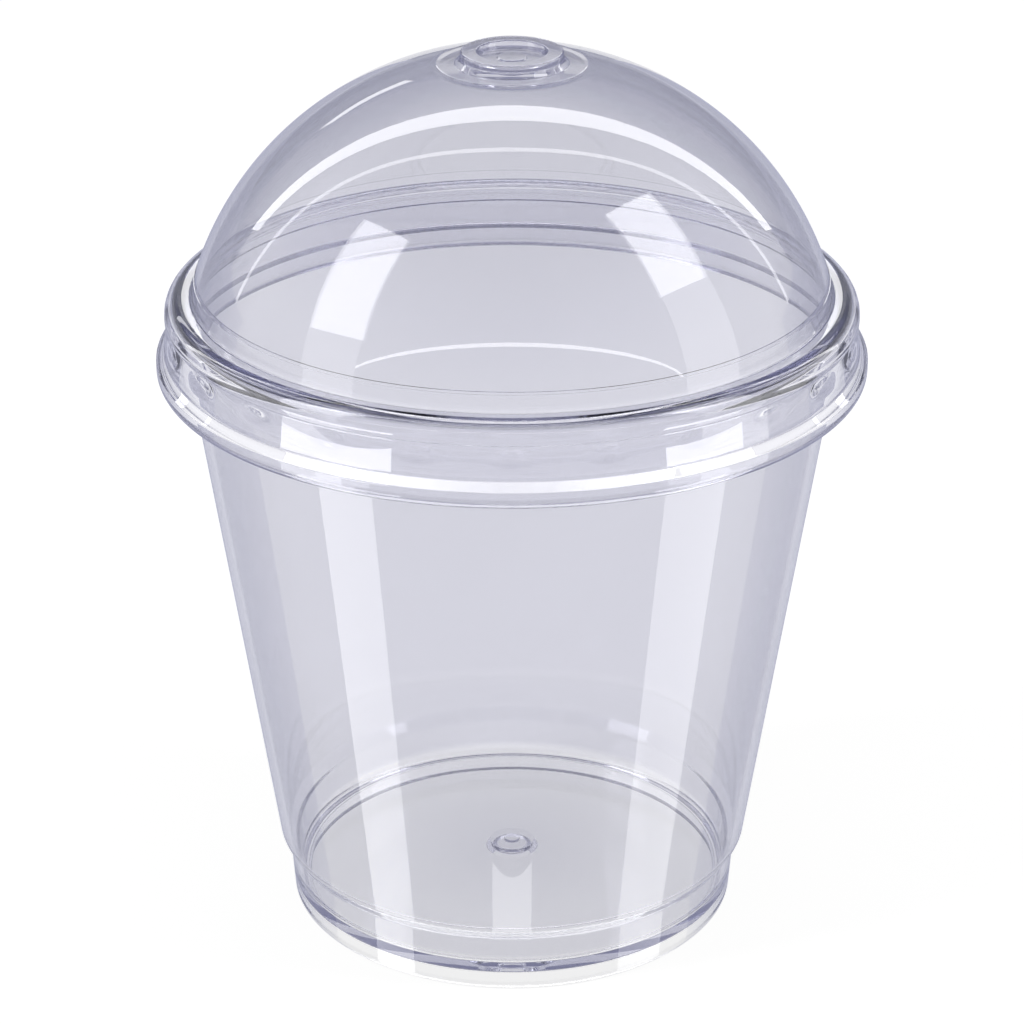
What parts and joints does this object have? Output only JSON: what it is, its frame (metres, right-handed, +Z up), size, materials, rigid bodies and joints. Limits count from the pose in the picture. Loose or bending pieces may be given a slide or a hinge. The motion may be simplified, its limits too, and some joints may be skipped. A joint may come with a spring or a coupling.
{
  "type": "dessert cup with dome lid",
  "caption": "Clear tapered dessert cup on a stepped foot, with a flanged dome lid that rests on its rim, snaps over it and lifts straight off.",
  "frame": {"origin": "centre of the foot ring's underside, on the surface that the cup stands on", "axes": "+Z up along the cup's axis; X and Y are level and alike, because cup and lid are round"},
  "size_m": [0.09, 0.09, 0.1162],
  "materials": {
    "cup_plastic": "clear moulded polystyrene, polished",
    "lid_plastic": "clear moulded polystyrene, polished"
  },
  "bodies": {
    "cup": {"cup": "cup_plastic"},
    "lid": {"dome_lid": "lid_plastic"}
  },
  "joints": [
    {"name": "lid_lift", "type": "slide", "parent": "cup", "child": "lid", "axis": [0, 0, 1], "range_m": [0, 0.09]}
  ]
}
